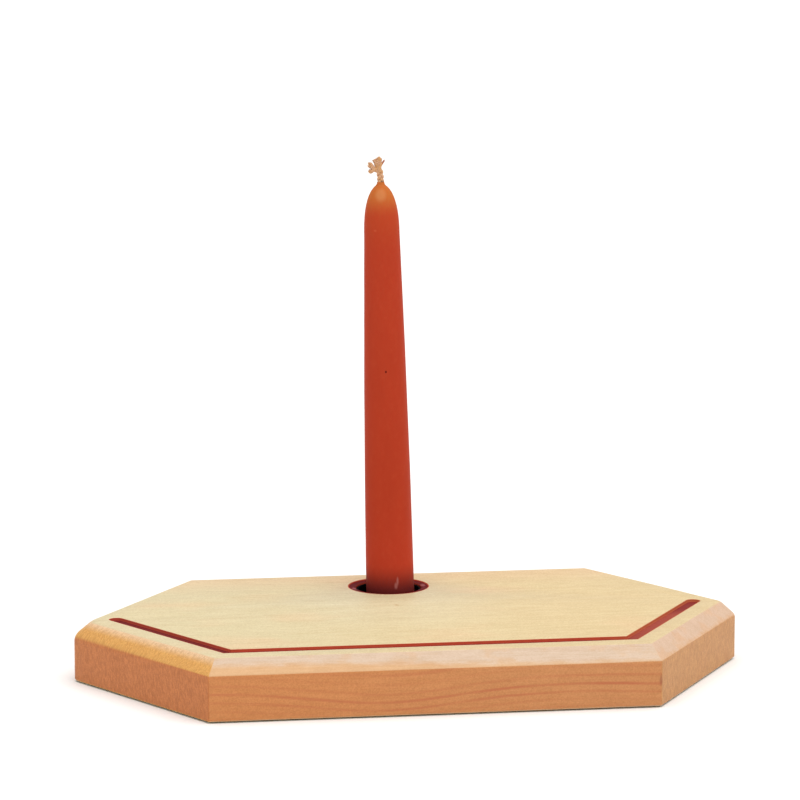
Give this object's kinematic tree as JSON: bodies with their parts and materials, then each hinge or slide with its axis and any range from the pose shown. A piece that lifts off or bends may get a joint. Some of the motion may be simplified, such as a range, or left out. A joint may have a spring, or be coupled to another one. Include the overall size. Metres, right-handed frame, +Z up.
{
  "type": "candlestick",
  "caption": "Wooden candlestick: chamfered hexagonal maple board with a dark red inlay along its front and a red taper candle standing in a sunken cup.",
  "frame": {"origin": "on the table, under the middle of the board", "axes": "+X along the board to the right seen from the front, -Y toward the front (the side with the inlay), +Z up"},
  "size_m": [0.3048, 0.1738, 0.2296],
  "materials": {
    "maple": "satin lacquer over pale maple, darker on the edges and end grain",
    "red_wood": "satin, dark red",
    "black_enamel": "matt black",
    "zinc_steel": "zinc plated",
    "red_wax": "smooth satin wax, slightly translucent",
    "cotton": "plaited cotton, waxed",
    "felt": "pressed wool felt"
  },
  "bodies": {
    "base": {"base_board": "maple", "inlay_left": "red_wood", "inlay_front": "red_wood", "inlay_right": "red_wood", "socket_collar": "red_wood", "candle_cup": "black_enamel", "cup_screw": "zinc_steel", "pad_front_left": "felt", "pad_front_right": "felt", "pad_back_left": "felt", "pad_back_right": "felt"},
    "candle": {"candle_wax": "red_wax", "candle_wick": "cotton"}
  },
  "joints": [
    {"name": "candle_lift", "type": "slide", "parent": "base", "child": "candle", "axis": [-0.0215, 0, 0.9998], "range_m": [0, 0.04]}
  ]
}
